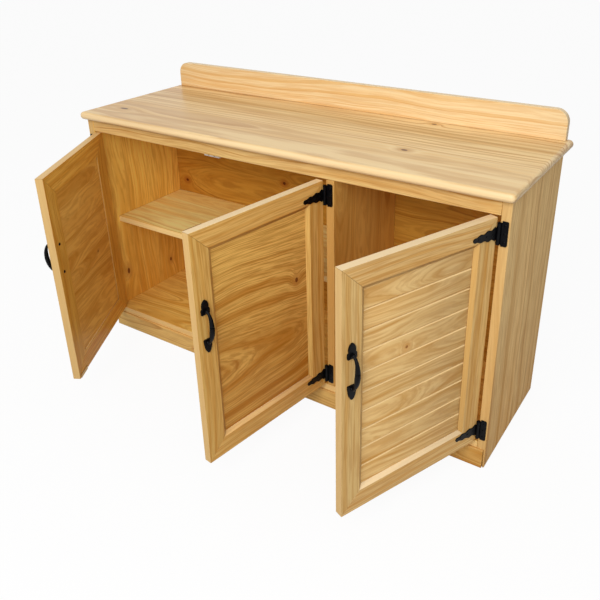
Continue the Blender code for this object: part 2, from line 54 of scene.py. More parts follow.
class Wire:
    """One output of a material's nodes. Sums on it add Math nodes to the same material."""

    def __init__(self, tree, socket):
        self.tree = tree
        self.socket = socket

    def node(self, kind, settings, inputs, output=0):
        """Any node: its settings are set first, then the values or links of its sockets."""
        made = self.tree.nodes.new(kind)
        for name, value in settings.items():
            setattr(made, name, value)
        for name, value in inputs.items():
            if isinstance(value, Wire):
                self.tree.links.new(value.socket, made.inputs[name])
            else:
                made.inputs[name].default_value = value
        return Wire(self.tree, made.outputs[output])

    def maths(self, operation, *others):
        return self.node("ShaderNodeMath", {"operation": operation}, dict(enumerate((self, *others))))

    def __add__(self, other):
        return self.maths("ADD", other)

    __radd__ = __add__

    def __sub__(self, other):
        return self.maths("SUBTRACT", other)

    def __rsub__(self, other):
        return self.node("ShaderNodeMath", {"operation": "SUBTRACT"}, {0: other, 1: self})

    def __mul__(self, other):
        return self.maths("MULTIPLY", other)

    __rmul__ = __mul__

    def __truediv__(self, other):
        return self.maths("DIVIDE", other)

    def between(self, low, high):
        """This number, which goes from 0 to 1, spread out from low to high."""
        return self * (high - low) + low

    def rise(self, low, high):
        """A smooth step: 0 below low and 1 above high."""
        limits = {"Value": self, "From Min": low, "From Max": high}
        return self.node("ShaderNodeMapRange", {"interpolation_type": "SMOOTHSTEP"}, limits)

    def parts(self):
        """The three numbers of a vector or a colour."""
        split = self.node("ShaderNodeSeparateXYZ", {}, {0: self}).socket.node
        return [Wire(self.tree, socket) for socket in split.outputs]

    def laid(self, place, turn):
        """This vector as it is measured from a place, on axes turned about Z."""
        turned = {"Vector": self, "Location": place, "Rotation": (0, 0, turn)}
        return self.node("ShaderNodeMapping", {"vector_type": "TEXTURE"}, turned)

    def mottle(self, waves, detail):
        """Noise from 0 to 1, with so many waves to the metre on each axis of this vector."""
        spread = self.node("ShaderNodeVectorMath", {"operation": "MULTIPLY"}, {0: self, 1: waves})
        return self.node("ShaderNodeTexNoise", {}, {"Vector": spread, "Scale": 1.0, "Detail": detail})

    def dice(self, output):
        """A throw for each whole number: a Color is three throws, and a Value is one."""
        return self.node("ShaderNodeTexWhiteNoise", {"noise_dimensions": "1D"}, {"W": self}, output)

    def blend(self, under, over):
        """A colour that goes from under to over as this number goes from 0 to 1.

        The Mix node's sockets for two colours are its inputs 6 and 7 and its output 2.
        """
        return self.node("ShaderNodeMix", {"data_type": "RGBA"}, {0: self, 6: under, 7: over}, 2)

    def feed(self, shader, name):
        self.tree.links.new(self.socket, shader.inputs[name])

    def lift(self, shader, strength, distance):
        """Raise the shader's surface by this height."""
        raised = {"Strength": strength, "Distance": distance, "Height": self}
        self.node("ShaderNodeBump", {}, raised).feed(shader, "Normal")


def chip(red, green, blue):
    """A colour chip's 8-bit values as a linear colour, by the usual screen curve."""
    shares = [value / 255 for value in (red, green, blue)]
    return (*[s / 12.92 if s < 0.04 else ((s + 0.055) / 1.055) ** 2.4 for s in shares], 1.0)


def new_finish(name):
    """A new material, its shader, and the place of each point of the surface."""
    material = bpy.data.materials.new(name)
    material.use_nodes = True
    tree = material.node_tree
    spot = Wire(tree, None).node("ShaderNodeTexCoord", {}, {}, "Object")
    return material, tree.nodes["Principled BSDF"], spot


# Pine's unevenness: waves to the metre along the grain, across it and through the board, then the detail.
SWAY = ((1.9, 4.5, 4.5), 1.0)
SWELL = ((2.6, 3.0, 3.0), 1.0)
RIPPLE = ((10.0, 42.0, 42.0), 2.0)
FADE = ((2.3, 10.0, 10.0), 1.0)
STREAK = ((1.6, 75.0, 75.0), 3.0)
FIBRE = ((26.0, 1300.0, 1300.0), 2.0)
CLOUD = ((1.3, 6.0, 6.0), 2.0)
STRAND_DETAIL = 3.0
BAND_DETAIL = 2.0
# How far it moves the rings, in metres, and how far apart in the tree two neighbouring staves are cut.
SWAY_REACH = 0.050
SWELL_REACH = 0.040
RIPPLE_REACH = 0.0030
STAVE_ALONG = 4.0
STAVE_ASIDE = 0.37
# A knot's ragged edge, its push on the rings, its own rings and its soft borders, in radii of the knot,
# and then how much it and the resin round it cover.
KNOT_RAGGED = 0.45
KNOT_PUSH = 2.2
KNOT_PUSH_FALL = -0.06
KNOT_RINGS = 9.0
KNOT_HEART = (0.9, 1.1)
KNOT_BORDER = (0.65, 1.15)
KNOT_HALO = (1.0, 4.2)
KNOT_SHARE = 0.92
HALO_SHARE = 0.60
# A ring's dark summer line, from faint to full, and the slow bands of narrow and wide years.
BAND_PACE = 0.42
BAND_DRIFT = 1.8
SUMMER_FULL = 0.90
SUMMER_END = (0.91, 1.0)
LEAN_YEAR = 0.15
FADED = 0.40
FADE_SLOPE = (0.25, 0.70)
SAPWOOD_FADE = 0.40
# Where the wood is amber, and where its fine strands begin.
BAND_BLUSH = (0.42, 0.66)
STREAK_BLUSH = (0.46, 0.72)
BAND_SHARE = 0.7
STREAK_SHARE = 0.3
CLOUD_SHARE = 0.5
STRAND_SLOPE = (0.42, 0.62)
STRAND_ASIDE = 0.2
# How squarely a face has to look along the grain, across it or through the board to count as that face.
END_SLOPE = (0.60, 0.95)
EDGE_LIGHT_SLOPE = (0.45, 0.75)
PAINTED_SHADE_SLOPE = (0.35, 0.55)
REVERSE_LIGHT_SLOPE = (0.0, 0.7)
# Shares of streaks, fibres, summer lines, end grain and knots in the tone, the roughness and the relief.
FACE_TONE = 0.93
STREAK_TONE = 0.12
FIBRE_TONE = 0.10
END_TONE = 0.20
FIBRE_ROUGHNESS = 0.10
SUMMER_POLISH = 0.06
END_ROUGHNESS = 0.12
FIBRE_RELIEF = 0.55
SUMMER_RELIEF = 0.35
KNOT_RELIEF = 0.30
RELIEF_STRENGTH = 0.18
RELIEF_HEIGHT = 0.0004
VARNISH_ROUGHNESS = 0.24


def knotted(knots, along, across, radius, ripple):
    """The rings as knots push them aside, and the places of knots, the resin round them and their rings."""
    mask = 0.0
    halo = 0.0
    rings = 0.0
    for knot_along, knot_across, size, longer in knots:
        away_along = (along - knot_along) / longer
        away_across = across - knot_across
        away = (away_along * away_along + away_across * away_across).maths("SQRT")
        shares = (away + ripple * (KNOT_RAGGED * size)) / size
        push = (shares * shares * KNOT_PUSH_FALL).maths("EXPONENT")
        radius = radius + push * (size * KNOT_PUSH)
        mask = (1 - shares.rise(*KNOT_BORDER)) + mask
        halo = (1 - shares.rise(*KNOT_HALO)) + halo
        rings = (shares * KNOT_RINGS).maths("SINE") * (1 - shares.rise(*KNOT_HEART)) + rings
    return radius, mask, halo, rings


def pine(name, timber, grain, depth, heart, place, luck, turn=0.0, ring=0.0055, staves=None, spread=0.9,
         waver=1.0, knots=(), pale=None, reverse=None):
    """Varnished pine as a solid: growth rings about a heart line that leans through the board.

    grain and depth name the axes along the grain and through the board, from place and turned by turn.
    heart is the heart line's distance to the side, its depth below the face and its lean; luck picks the
    piece of the tree; ring is the width of a year and waver how far the rings wander; staves is the first
    glue line and the width of a stave, and spread how many widths the heart strays from its middle; each
    knot is a place along, a place across, a radius across and how many times longer it is along the grain.
    pale is the way across the grain that the edges painted pale as a highlight look, and the other edges are
    painted darker as shade; reverse is the way through the board that its reverse looks, which takes a
    painted tone of its own for how that face is lit.
    """
    material, shader, spot = new_finish(name)
    axes = dict(zip("XYZ", spot.laid(place, turn).parts()))
    facing = spot.node("ShaderNodeTexCoord", {}, {}, "Normal")
    faces = dict(zip("XYZ", facing.laid((0, 0, 0), turn).parts()))
    width = ({"X", "Y", "Z"} - {grain, depth}).pop()
    along = axes[grain]
    across = axes[width]
    through = axes[depth]

    side_of_heart, below_heart, lean = heart
    if staves:
        first, stave_width = staves
        number = ((across - first) / stave_width).maths("FLOOR")
        cut_along, cut_aside, cut_deep = (number + luck).dice("Color").parts()
        side = across - first - (number + 0.5 + (cut_aside - 0.5) * spread) * stave_width
        height = through + (cut_deep + 0.5) * below_heart + along * (cut_along - 0.5) * (2 * lean)
        stave_tone = (cut_aside - 0.5) * timber["stave_spread"]
        run = along + cut_along * STAVE_ALONG + luck
        aside = across + number * STAVE_ASIDE
    else:
        side = across - side_of_heart
        height = through + below_heart + along * lean
        stave_tone = 0.0
        run = along + luck
        aside = across
    lie = spot.node("ShaderNodeCombineXYZ", {}, {0: run, 1: aside, 2: through})

    ripple = lie.mottle(*RIPPLE) - 0.5
    side = side + (lie.mottle(*SWAY) - 0.5) * (SWAY_REACH * waver)
    height = height + (lie.mottle(*SWELL) - 0.5) * (SWELL_REACH * waver)
    radius = (side * side + height * height).maths("SQRT") + ripple * (RIPPLE_REACH * waver)
    radius, knot_mask, knot_halo, knot_rings = knotted(knots, along, across, radius, ripple)

    slow = {"W": radius / ring * BAND_PACE + luck, "Scale": 1.0, "Detail": BAND_DETAIL}
    bands = spot.node("ShaderNodeTexNoise", {"noise_dimensions": "1D"}, slow)
    phase = radius / ring + bands * BAND_DRIFT
    season = phase.maths("FRACT")
    harvest = (phase.maths("FLOOR") + luck).dice("Value").between(LEAN_YEAR, 1.0)
    fade = lie.mottle(*FADE).rise(*FADE_SLOPE).between(FADED, 1.0)
    sapwood = radius.rise(*timber["sapwood"])
    summer = season.rise(timber["line"], SUMMER_FULL) * (1 - season.rise(*SUMMER_END)) * harvest
    summer = summer * fade * (1 - sapwood * SAPWOOD_FADE) * timber["contrast"]

    threads = spot.node("ShaderNodeCombineXYZ", {}, {0: run, 1: radius, 2: across * STRAND_ASIDE})
    strand = threads.mottle(timber["strand_waves"], STRAND_DETAIL).rise(*STRAND_SLOPE)
    streak = lie.mottle(*STREAK)
    fibre = lie.mottle(*FIBRE)
    cloud = lie.mottle(*CLOUD) - 0.5
    blush = bands.rise(*BAND_BLUSH) * BAND_SHARE + streak.rise(*STREAK_BLUSH) * STREAK_SHARE
    blush = blush + cloud * CLOUD_SHARE
    # Painted light and shade: the board is painted paler or deeper along its grain, as the light falls on
    # it.
    if timber["painted_light_along"]:
        blush = blush - along * timber["painted_light_along"]
    # Painted light and shade: the board is painted paler or deeper across its grain, as the light falls on
    # it.
    if timber["painted_light_across"]:
        level, per_metre = timber["painted_light_across"]
        blush = blush + (across - level) * per_metre
    colour = (blush * (1 - sapwood) * timber["amber_share"]).blend(timber["spring"], timber["amber"])
    colour = (strand * timber["strand"]).blend(colour, timber["summer"])
    colour = summer.blend(colour, timber["summer"])

    end = faces[grain].maths("ABSOLUTE").rise(*END_SLOPE)
    # Painted light and shade: the reverse face takes a painted tone for how it is lit, such as the shade
    # under the top or the warm bounced light inside the bays.
    if reverse:
        reverse_light = {0: colour, 1: timber["reverse_painted_light"]}
        reverse_lit = colour.node("ShaderNodeVectorMath", {"operation": "MULTIPLY"}, reverse_light)
        colour = (faces[depth] * reverse).rise(*REVERSE_LIGHT_SLOPE).blend(colour, reverse_lit)
    # Painted highlight and shade: edges that face the way of pale are painted pale as lit arrises and groove
    # slopes, and edges facing the other way are painted darker as shade. Without pale, both edges take the
    # painted edge colour.
    if pale:
        edge = (faces[width] * pale).rise(*timber["edge_light_slope"])
        painted_shade_edge = (faces[width] * -pale).rise(*PAINTED_SHADE_SLOPE)
        colour = (painted_shade_edge * timber["painted_shade_share"]).blend(colour, timber["painted_shade_edge"])
    else:
        edge = faces[width].maths("ABSOLUTE").rise(*EDGE_LIGHT_SLOPE)
    colour = (edge * timber["edge_light_share"]).blend(colour, timber["edge"])
    tone = FACE_TONE + streak * STREAK_TONE + fibre * FIBRE_TONE + stave_tone - end * END_TONE
    colour = colour.node("ShaderNodeVectorMath", {"operation": "SCALE"}, {0: colour, "Scale": tone})
    roughness = timber["roughness"] + (fibre - 0.5) * FIBRE_ROUGHNESS
    roughness = roughness - summer * SUMMER_POLISH + end * END_ROUGHNESS
    relief = fibre * FIBRE_RELIEF + summer * SUMMER_RELIEF
    if knots:
        colour = (knot_halo * HALO_SHARE).blend(colour, timber["resin"])
        core = (knot_rings * 0.5 + 0.5).blend(timber["knot"], timber["knot_ring"])
        colour = (knot_mask * KNOT_SHARE).blend(colour, core)
        relief = relief + knot_mask * KNOT_RELIEF
    colour.feed(shader, "Base Color")
    roughness.feed(shader, "Roughness")
    relief.lift(shader, RELIEF_STRENGTH, RELIEF_HEIGHT)
    shader.inputs["Specular IOR Level"].default_value = timber["gloss"]
    shader.inputs["Coat Weight"].default_value = timber["varnish"]
    shader.inputs["Coat Roughness"].default_value = VARNISH_ROUGHNESS
    return material


def rounded(shape, arrises, ease, segments, clamped=False):
    """Round some arrises of a shape."""
    bmesh.ops.bevel(shape, geom=arrises, offset=ease, offset_type="OFFSET", segments=segments, profile=0.5,
                    affect="EDGES", material=-1, clamp_overlap=clamped)


SAME_CORNER = 0.00002
SLIVER = 0.000004
FLAT_ANGLE = math.radians(1)
ARRIS_ANGLE = 0.4


def rubbed(node, ease, shortest):
    """A copy of a CAD solid whose arrises longer than shortest are rubbed round."""
    shape = bmesh.new()
    shape.from_mesh(frame["nodes"][node].data)
    bmesh.ops.remove_doubles(shape, verts=shape.verts, dist=SAME_CORNER)
    bmesh.ops.dissolve_limit(shape, angle_limit=FLAT_ANGLE, verts=shape.verts, edges=shape.edges)
    arrises = []
    for edge in shape.edges:
        if edge.is_manifold and edge.calc_face_angle() > ARRIS_ANGLE and edge.calc_length() > shortest:
            arrises.append(edge)
    rounded(shape, arrises, ease, segments=2, clamped=True)
    bmesh.ops.remove_doubles(shape, verts=shape.verts, dist=SLIVER)
    bmesh.ops.dissolve_degenerate(shape, dist=SLIVER, edges=shape.edges)
    return shape


CREASE_ANGLE = math.radians(48)


def fit(name, shape, material, slot, body, *nodes):
    """Turn a bmesh into a piece that rides on a body and stands for its CAD nodes."""
    mesh = bpy.data.meshes.new(name)
    shape.to_mesh(mesh)
    shape.free()
    mesh.shade_smooth()
    mesh.set_sharp_from_angle(angle=CREASE_ANGLE)
    mesh.materials.append(material)
    piece = bpy.data.objects.new(name, mesh)
    bpy.context.scene.collection.objects.link(piece)
    even = piece.modifiers.new("even_shading", "WEIGHTED_NORMAL")
    even.keep_sharp = True
    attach(piece, body)
    if nodes:
        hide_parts(*nodes)


# A timber's edge colour is painted light and shade on the faces across its grain, pale where it stands for a
# lit arris or groove slope and darker where it stands for shade, and its dark edge colour is painted shade
# on the edges that face away from the light. Its two gradients paint light and shade along and across the
# board.
honey_pine = {
    "spring": chip(223, 191, 131),
    "summer": chip(174, 118, 51),
    "amber": chip(203, 150, 74),
    "amber_share": 0.80,
    "resin": chip(204, 140, 66),
    "knot": chip(92, 44, 16),
    "knot_ring": chip(142, 78, 32),
    "line": 0.50,
    "contrast": 0.75,
    "strand": 0.26,
    "strand_waves": (11.0, 340.0, 340.0),
    "sapwood": (0.60, 0.90),
    "painted_light_along": 0.0,
    "painted_light_across": None,
    "stave_spread": 0.10,
    "edge": chip(226, 184, 120),
    "edge_light_share": 0.30,
    "edge_light_slope": (0.40, 0.70),
    "painted_shade_edge": chip(140, 90, 40),
    "painted_shade_share": 0.30,
    "roughness": 0.42,
    "gloss": 0.12,
    "varnish": 0.05,
}
# Painted light and shade on the sides: the faces are painted paler than the front edges, which are painted
# darker to even out how differently they are lit; the boards are painted paler at the top and deeper towards
# the floor; and the inner faces take a warmer painted tone for the shade and bounced light inside the bays.
side_pine = {
    **honey_pine,
    "spring": chip(242, 205, 142),
    "summer": chip(177, 119, 58),
    "amber": chip(208, 154, 82),
    "edge": chip(206, 165, 102),
    "edge_light_share": 0.65,
    "contrast": 0.60,
    "strand": 0.34,
    "strand_waves": (12.0, 300.0, 300.0),
    "painted_light_along": 1.30,
    "reverse_painted_light": (1.18, 1.10, 0.54),
    "roughness": 0.56,
    "gloss": 0.03,
    "varnish": 0.0,
}
SIDE_STAVE = 0.094
side_knots = {"left": [(-0.214, 0.060, 0.0050, 1.6), (-0.176, -0.134, 0.0055, 2.0)], "right": []}
side_luck = {"left": 3.0, "right": 8.0}
inner_face = {"left": 1, "right": -1}
for side in ("left", "right"):
    node = side + "_side"
    low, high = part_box(node)
    centre = (low + high) / 2
    wood = pine(node + "_pine", side_pine, "Z", "X", heart=(0.0, 0.075, 0.03), place=centre, ring=0.0140,
                staves=(low.y - centre.y, SIDE_STAVE), spread=4.0, knots=side_knots[side],
                reverse=inner_face[side], luck=side_luck[side])
    shape = rubbed(node, ease=0.0012, shortest=0.012)
    fit(node + "_board", shape, wood, "pine_front", "carcass", node)

# The bottom board is the floor of both bays, housed between the sides on the plinth. It is glued up from
# narrow pine staves, with hardly any varnish, and is a warmer yellow than the fronts.
# Its edges are painted paler than its faces, a painted highlight on its front edge.
inner_pine = {
    **honey_pine,
    "spring": chip(248, 208, 111),
    "summer": chip(190, 124, 37),
    "amber": chip(223, 162, 62),
    "resin": chip(164, 92, 32),
    "knot": chip(70, 30, 10),
    "knot_ring": chip(112, 54, 18),
    "contrast": 0.80,
    "roughness": 0.46,
    "edge": chip(238, 200, 138),
    "edge_light_share": 0.75,
    "gloss": 0.08,
    "varnish": 0.02,
}
BOTTOM_STAVE = 0.083
low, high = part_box("bottom_board")
centre = (low + high) / 2
wood = pine("bottom_board_pine", inner_pine, "X", "Z", heart=(0.0, 0.070, 0.06), place=centre,
            staves=(low.y - centre.y, BOTTOM_STAVE), luck=12.0)
shape = rubbed("bottom_board", ease=0.0010, shortest=0.012)
fit("bottom_board_staves", shape, wood, "pine_inside", "carcass", "bottom_board")

# The partition stands on the bottom board between the double bay and the single bay, notched under both
# top rails and housed for the shelf. Its front edge is the stile that the middle door is hung on.
# Its edges are painted darker than its faces, painted shade on the front edge beside the middle door.
partition_pine = {
    **honey_pine,
    "spring": chip(238, 196, 108),
    "summer": chip(184, 122, 44),
    "amber": chip(214, 156, 66),
    "edge": chip(196, 148, 82),
    "edge_light_share": 0.90,
}
PARTITION_STAVE = 0.083
low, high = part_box("centre_partition")
centre = (low + high) / 2
wood = pine("partition_pine", partition_pine, "Z", "X", heart=(0.0, 0.080, 0.05), place=centre,
            staves=(low.y - centre.y, PARTITION_STAVE), luck=21.0)
shape = rubbed("centre_partition", ease=0.0012, shortest=0.012)
fit("centre_partition_board", shape, wood, "pine_front", "carcass", "centre_partition")

# The shelf is one glued-up pine board let into housings in the left side and the partition, set back
# behind the doors, with its arrises lightly rounded.


def block(shape, centre, sizes):
    """Add a squared block about its centre."""
    placed = Matrix.Translation(centre) @ Matrix.Diagonal((*sizes, 1.0))
    bmesh.ops.create_cube(shape, size=1.0, matrix=placed)


def planed(node, ease):
    """A straight board that fills a node's box, its arrises planed round."""
    low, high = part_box(node)
    shape = bmesh.new()
    block(shape, (low + high) / 2, high - low)
    rounded(shape, shape.edges[:], ease, segments=3)
    return shape


# Its pale edge colour is a painted highlight on the shelf's front edge.
shelf_pine = {
    **inner_pine,
    "spring": chip(255, 236, 156),
    "summer": chip(214, 154, 68),
    "amber": chip(246, 198, 104),
    "edge": chip(248, 214, 150),
}
SHELF_STAVE = 0.095
shelf_knots = [(0.12, -0.03, 0.0040, 1.8)]
low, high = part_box("shelf")
centre = (low + high) / 2
wood = pine("shelf_pine", shelf_pine, "X", "Z", heart=(0.0, 0.085, 0.04), place=centre, ring=0.0090,
            waver=0.55, staves=(low.y - centre.y, SHELF_STAVE), knots=shelf_knots, luck=31.0)
shape = planed("shelf", ease=0.0020)
fit("shelf_board", shape, wood, "pine_inside", "carcass", "shelf")

# The back is made of thin pine boards laid across, edge to edge, and slid into the grooves of the sides.
# Its face in the bays is a deep golden brown with a few small knots, and its reverse is painted paler, a
# painted lift against the shade it stands in.
back_pine = {
    **inner_pine,
    "spring": chip(204, 150, 60),
    "summer": chip(142, 80, 18),
    "amber": chip(178, 114, 32),
    "reverse_painted_light": (1.40, 1.70, 2.50),
}
BACK_BOARD = 0.1095
low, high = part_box("back_panel")
centre = (low + high) / 2
back_knots = [(-0.590, 0.423 - centre.z, 0.0050, 1.2), (-0.174, 0.488 - centre.z, 0.0055, 1.1),
              (0.360, 0.560 - centre.z, 0.0050, 1.3), (0.150, 0.210 - centre.z, 0.0055, 1.3)]
wood = pine("back_panel_pine", back_pine, "X", "Y", heart=(0.0, 0.060, 0.06), place=centre,
            staves=(low.z - centre.z, BACK_BOARD), knots=back_knots, reverse=1, luck=43.0)
shape = rubbed("back_panel", ease=0.0008, shortest=0.012)
fit("back_boards", shape, wood, "pine_inside", "carcass", "back_panel")

# Two pine rails tie the sides together under the top. The front one is the frieze above the doors, and
# the back one, out of sight, carries the top's rear edge.
# Painted shadow: the front rail is painted deeper towards its top edge, where the nose of the top shades it.
front_rail_pine = {
    **honey_pine,
    "spring": chip(226, 190, 124),
    "amber": chip(198, 140, 62),
    "strand": 0.34,
    "painted_light_across": (0.0, 26.0),
}
low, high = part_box("top_front_rail")
centre = (low + high) / 2
wood = pine("front_rail_pine", front_rail_pine, "X", "Y", heart=(0.045, 0.060, 0.012), place=centre,
            luck=52.0)
shape = planed("top_front_rail", ease=0.0025)
fit("top_front_rail_board", shape, wood, "pine_front", "carcass", "top_front_rail")
low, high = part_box("top_back_rail")
centre = (low + high) / 2
wood = pine("back_rail_pine", inner_pine, "X", "Y", heart=(0.010, 0.070, 0.012), place=centre, luck=57.0)
shape = planed("top_back_rail", ease=0.0015)
fit("top_back_rail_board", shape, wood, "pine_inside", "carcass", "top_back_rail")

# The plinth is a pine board on edge under the bottom board, let into the notches of the sides. It stands a
# little proud of the doors, and painted shade deepens it towards the right-hand end, where the open right
# door shades it.
plinth_pine = {
    **honey_pine,
    "spring": chip(226, 184, 108),
    "summer": chip(168, 110, 40),
    "amber": chip(188, 130, 54),
    "painted_light_along": -0.90,
}
plinth_knots = [(0.560, 0.006, 0.0035, 1.5), (-0.300, -0.010, 0.0030, 1.5)]
low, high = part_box("plinth")
centre = (low + high) / 2
wood = pine("plinth_pine", plinth_pine, "X", "Y", heart=(0.018, 0.055, 0.015), place=centre,
            knots=plinth_knots, luck=63.0)
shape = planed("plinth", ease=0.0020)
fit("plinth_board", shape, wood, "pine_front", "carcass", "plinth")

# The top is a wide board glued up from five staves, planed flat and run along the front and both ends
# with a rounding cutter, so that its edge is a full round nose. It has the most coats of varnish.
# Painted light and shade on the top: its pale edge colour paints the highlight along the nose and ends, its
# reverse tone paints the shade on the underside and the lower half of the nose, and it is painted paler
# towards the right-hand end and deeper towards the left.
top_pine = {
    **honey_pine,
    "spring": chip(243, 212, 156),
    "summer": chip(188, 132, 66),
    "amber": chip(219, 168, 90),
    "amber_share": 0.60,
    "resin": chip(204, 152, 86),
    "contrast": 1.0,
    "strand": 0.40,
    "strand_waves": (3.0, 125.0, 125.0),
    "painted_light_along": 0.45,
    "knot": chip(58, 28, 10),
    "knot_ring": chip(96, 52, 22),
    "reverse_painted_light": (0.62, 0.52, 0.42),
    "roughness": 0.40,
    "edge": chip(238, 210, 162),
    "edge_light_share": 0.70,
    "gloss": 0.14,
    "varnish": 0.28,
}
TOP_STAVE = 0.0885
NOSE_SEGMENTS = 8
NOSE_FLAT = 0.0003
CORNER_RADIUS = 0.012
CORNER_SEGMENTS = 6
IN_LINE = 0.001
low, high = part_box("top_board")
centre = (low + high) / 2
shape = bmesh.new()
block(shape, centre, high - low)
for is_nose, ease, segments in ((False, CORNER_RADIUS, CORNER_SEGMENTS),
                                (True, (high.z - low.z) / 2 - NOSE_FLAT, NOSE_SEGMENTS)):
    arrises = []
    for edge in shape.edges:
        first, last = [vertex.co for vertex in edge.verts]
        at_back = min(first.y, last.y) > high.y - IN_LINE
        is_level = abs(first.z - last.z) < IN_LINE
        if is_level == is_nose and not at_back:
            arrises.append(edge)
    rounded(shape, arrises, ease, segments)
top_knots = [(-0.572, 0.078 - centre.y, 0.0058, 2.9), (0.332, 0.136 - centre.y, 0.0062, 1.5),
             (0.299, 0.383 - centre.y, 0.0048, 1.6)]
wood = pine("top_board_pine", top_pine, "X", "Z", heart=(0.0, 0.120, 0.015), place=centre, ring=0.0150,
            staves=(low.y - centre.y, TOP_STAVE), spread=4.0, waver=0.35, knots=top_knots, reverse=-1,
            luck=71.0)
fit("top_board_nosed", shape, wood, "pine_top", "carcass", "top_board")

# The upright behind the top is one flat-sawn board with its two upper corners cut round. It is glued and
# dowelled to the top and varnished with it, and its rings show as a wide wavy figure.
# The upright keeps the top's painted light: it is painted paler towards the right-hand end, and its edges
# are painted pale as a highlight.
upright_pine = {
    **top_pine,
    "spring": chip(240, 214, 166),
    "summer": chip(208, 150, 80),
    "amber_share": 0.65,
    "contrast": 0.80,
    "strand": 0.30,
    "strand_waves": (8.0, 250.0, 250.0),
}
low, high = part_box("backsplash")
centre = (low + high) / 2
wood = pine("upright_pine", upright_pine, "X", "Y", heart=(0.065, 0.055, 0.016), place=centre, ring=0.0046,
            waver=1.2, luck=84.0)
shape = rubbed("backsplash", ease=0.0020, shortest=0.0005)
fit("upright_board", shape, wood, "pine_top", "carcass", "backsplash")

# Each door has a plastic magnetic catch: a white moulded body, screwed under the top rail for the middle
# door and on the bottom board for the other two, with two dark magnets set in its front.


def moulded_plastic():
    """White moulded plastic, a little yellowed, with the fine grain of the mould."""
    material, shader, spot = new_finish("catch_white_plastic")
    grain = spot.mottle(waves=(1800.0, 1800.0, 1800.0), detail=2.0)
    stain = spot.mottle(waves=(45.0, 45.0, 45.0), detail=2.0).rise(0.35, 0.75)
    stain.blend(chip(236, 235, 228), chip(222, 218, 204)).feed(shader, "Base Color")
    grain.between(0.36, 0.50).feed(shader, "Roughness")
    grain.lift(shader, strength=0.12, distance=0.0002)
    return material


def black_ferrite():
    """The catch's magnets: dull grey-black sintered ferrite."""
    material, shader, spot = new_finish("catch_magnet_ferrite")
    speck = spot.mottle(waves=(2600.0, 2600.0, 2600.0), detail=2.0)
    speck.blend(chip(26, 26, 28), chip(58, 57, 56)).feed(shader, "Base Color")
    speck.between(0.40, 0.65).feed(shader, "Roughness")
    return material


def corners_of(parts):
    """The vertices among the parts that an operator gives back."""
    return [part for part in parts if isinstance(part, bmesh.types.BMVert)]


MAGNET_RADIUS = 0.0036
MAGNET_SIDES = 28
MAGNET_PROUD = 0.00015
MAGNET_THICKNESS = 0.0012
MAGNET_SPACING = 0.0190
LAID_OVER = Matrix.Rotation(math.radians(90), 4, "X")
plastic = moulded_plastic()
ferrite = black_ferrite()
for side in ("left", "middle", "right"):
    node = "magnetic_catch_" + side
    low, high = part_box(node)
    centre = (low + high) / 2
    shape = rubbed(node, ease=0.0006, shortest=0.006)
    fit(side + "_catch_body", shape, plastic, "catch_plastic", "carcass", node)
    shape = bmesh.new()
    for step in (-0.5, 0.5):
        seat = Vector((centre.x + step * MAGNET_SPACING, low.y - MAGNET_PROUD, centre.z))
        bmesh.ops.create_circle(shape, cap_ends=True, radius=MAGNET_RADIUS, segments=MAGNET_SIDES,
                                matrix=Matrix.Translation(seat) @ LAID_OVER)
    sunk = bmesh.ops.extrude_face_region(shape, geom=shape.faces[:])["geom"]
    bmesh.ops.translate(shape, verts=corners_of(sunk), vec=(0, MAGNET_THICKNESS, 0))
    bmesh.ops.recalc_face_normals(shape, faces=shape.faces)
    fit(side + "_catch_magnets", shape, ferrite, "catch_plastic", "carcass")

# Six T-hinges hang the doors. The leaf on the stile is stamped iron rolled into two knuckles, with a thin
# tongue left behind the middle one. It is finished in satin black lacquer over a slightly pitted surface
# and held by three black round-head screws.


def lacquered_iron(name, luck):
    """Satin black lacquer on pitted iron, a shade greyer where it has been rubbed."""
    material, shader, spot = new_finish(name)
    spot = spot.node("ShaderNodeMapping", {}, {"Vector": spot, "Location": (luck, luck, luck)})
    pits = spot.mottle(waves=(620.0, 620.0, 620.0), detail=3.0)
    rubs = spot.mottle(waves=(75.0, 75.0, 75.0), detail=2.0)
    rubs.rise(0.45, 0.80).blend(chip(5, 5, 7), chip(12, 13, 16)).feed(shader, "Base Color")
    (pits.between(0.26, 0.42) + rubs * 0.06).feed(shader, "Roughness")
    pits.lift(shader, strength=0.30, distance=0.0003)
    shader.inputs["Specular IOR Level"].default_value = 0.10
    return material


# A screw's head, in radii out from its middle and in heights up from its seat, then its slot and rim.
HEAD_CURVE = ((0.0, 1.0), (0.45, 0.94), (0.80, 0.66), (1.0, 0.15))
HEAD_RIM = 0.15
HEAD_SIDES = 18
HEAD_SUNK = 0.0004
SLOT_HALF = 0.14
SLOT_DEPTH = 0.4
FIRST_TURN = 0.6
NEXT_TURN = 1.9
SAME_POINT = 0.00001
ON_PLANE = 0.000001


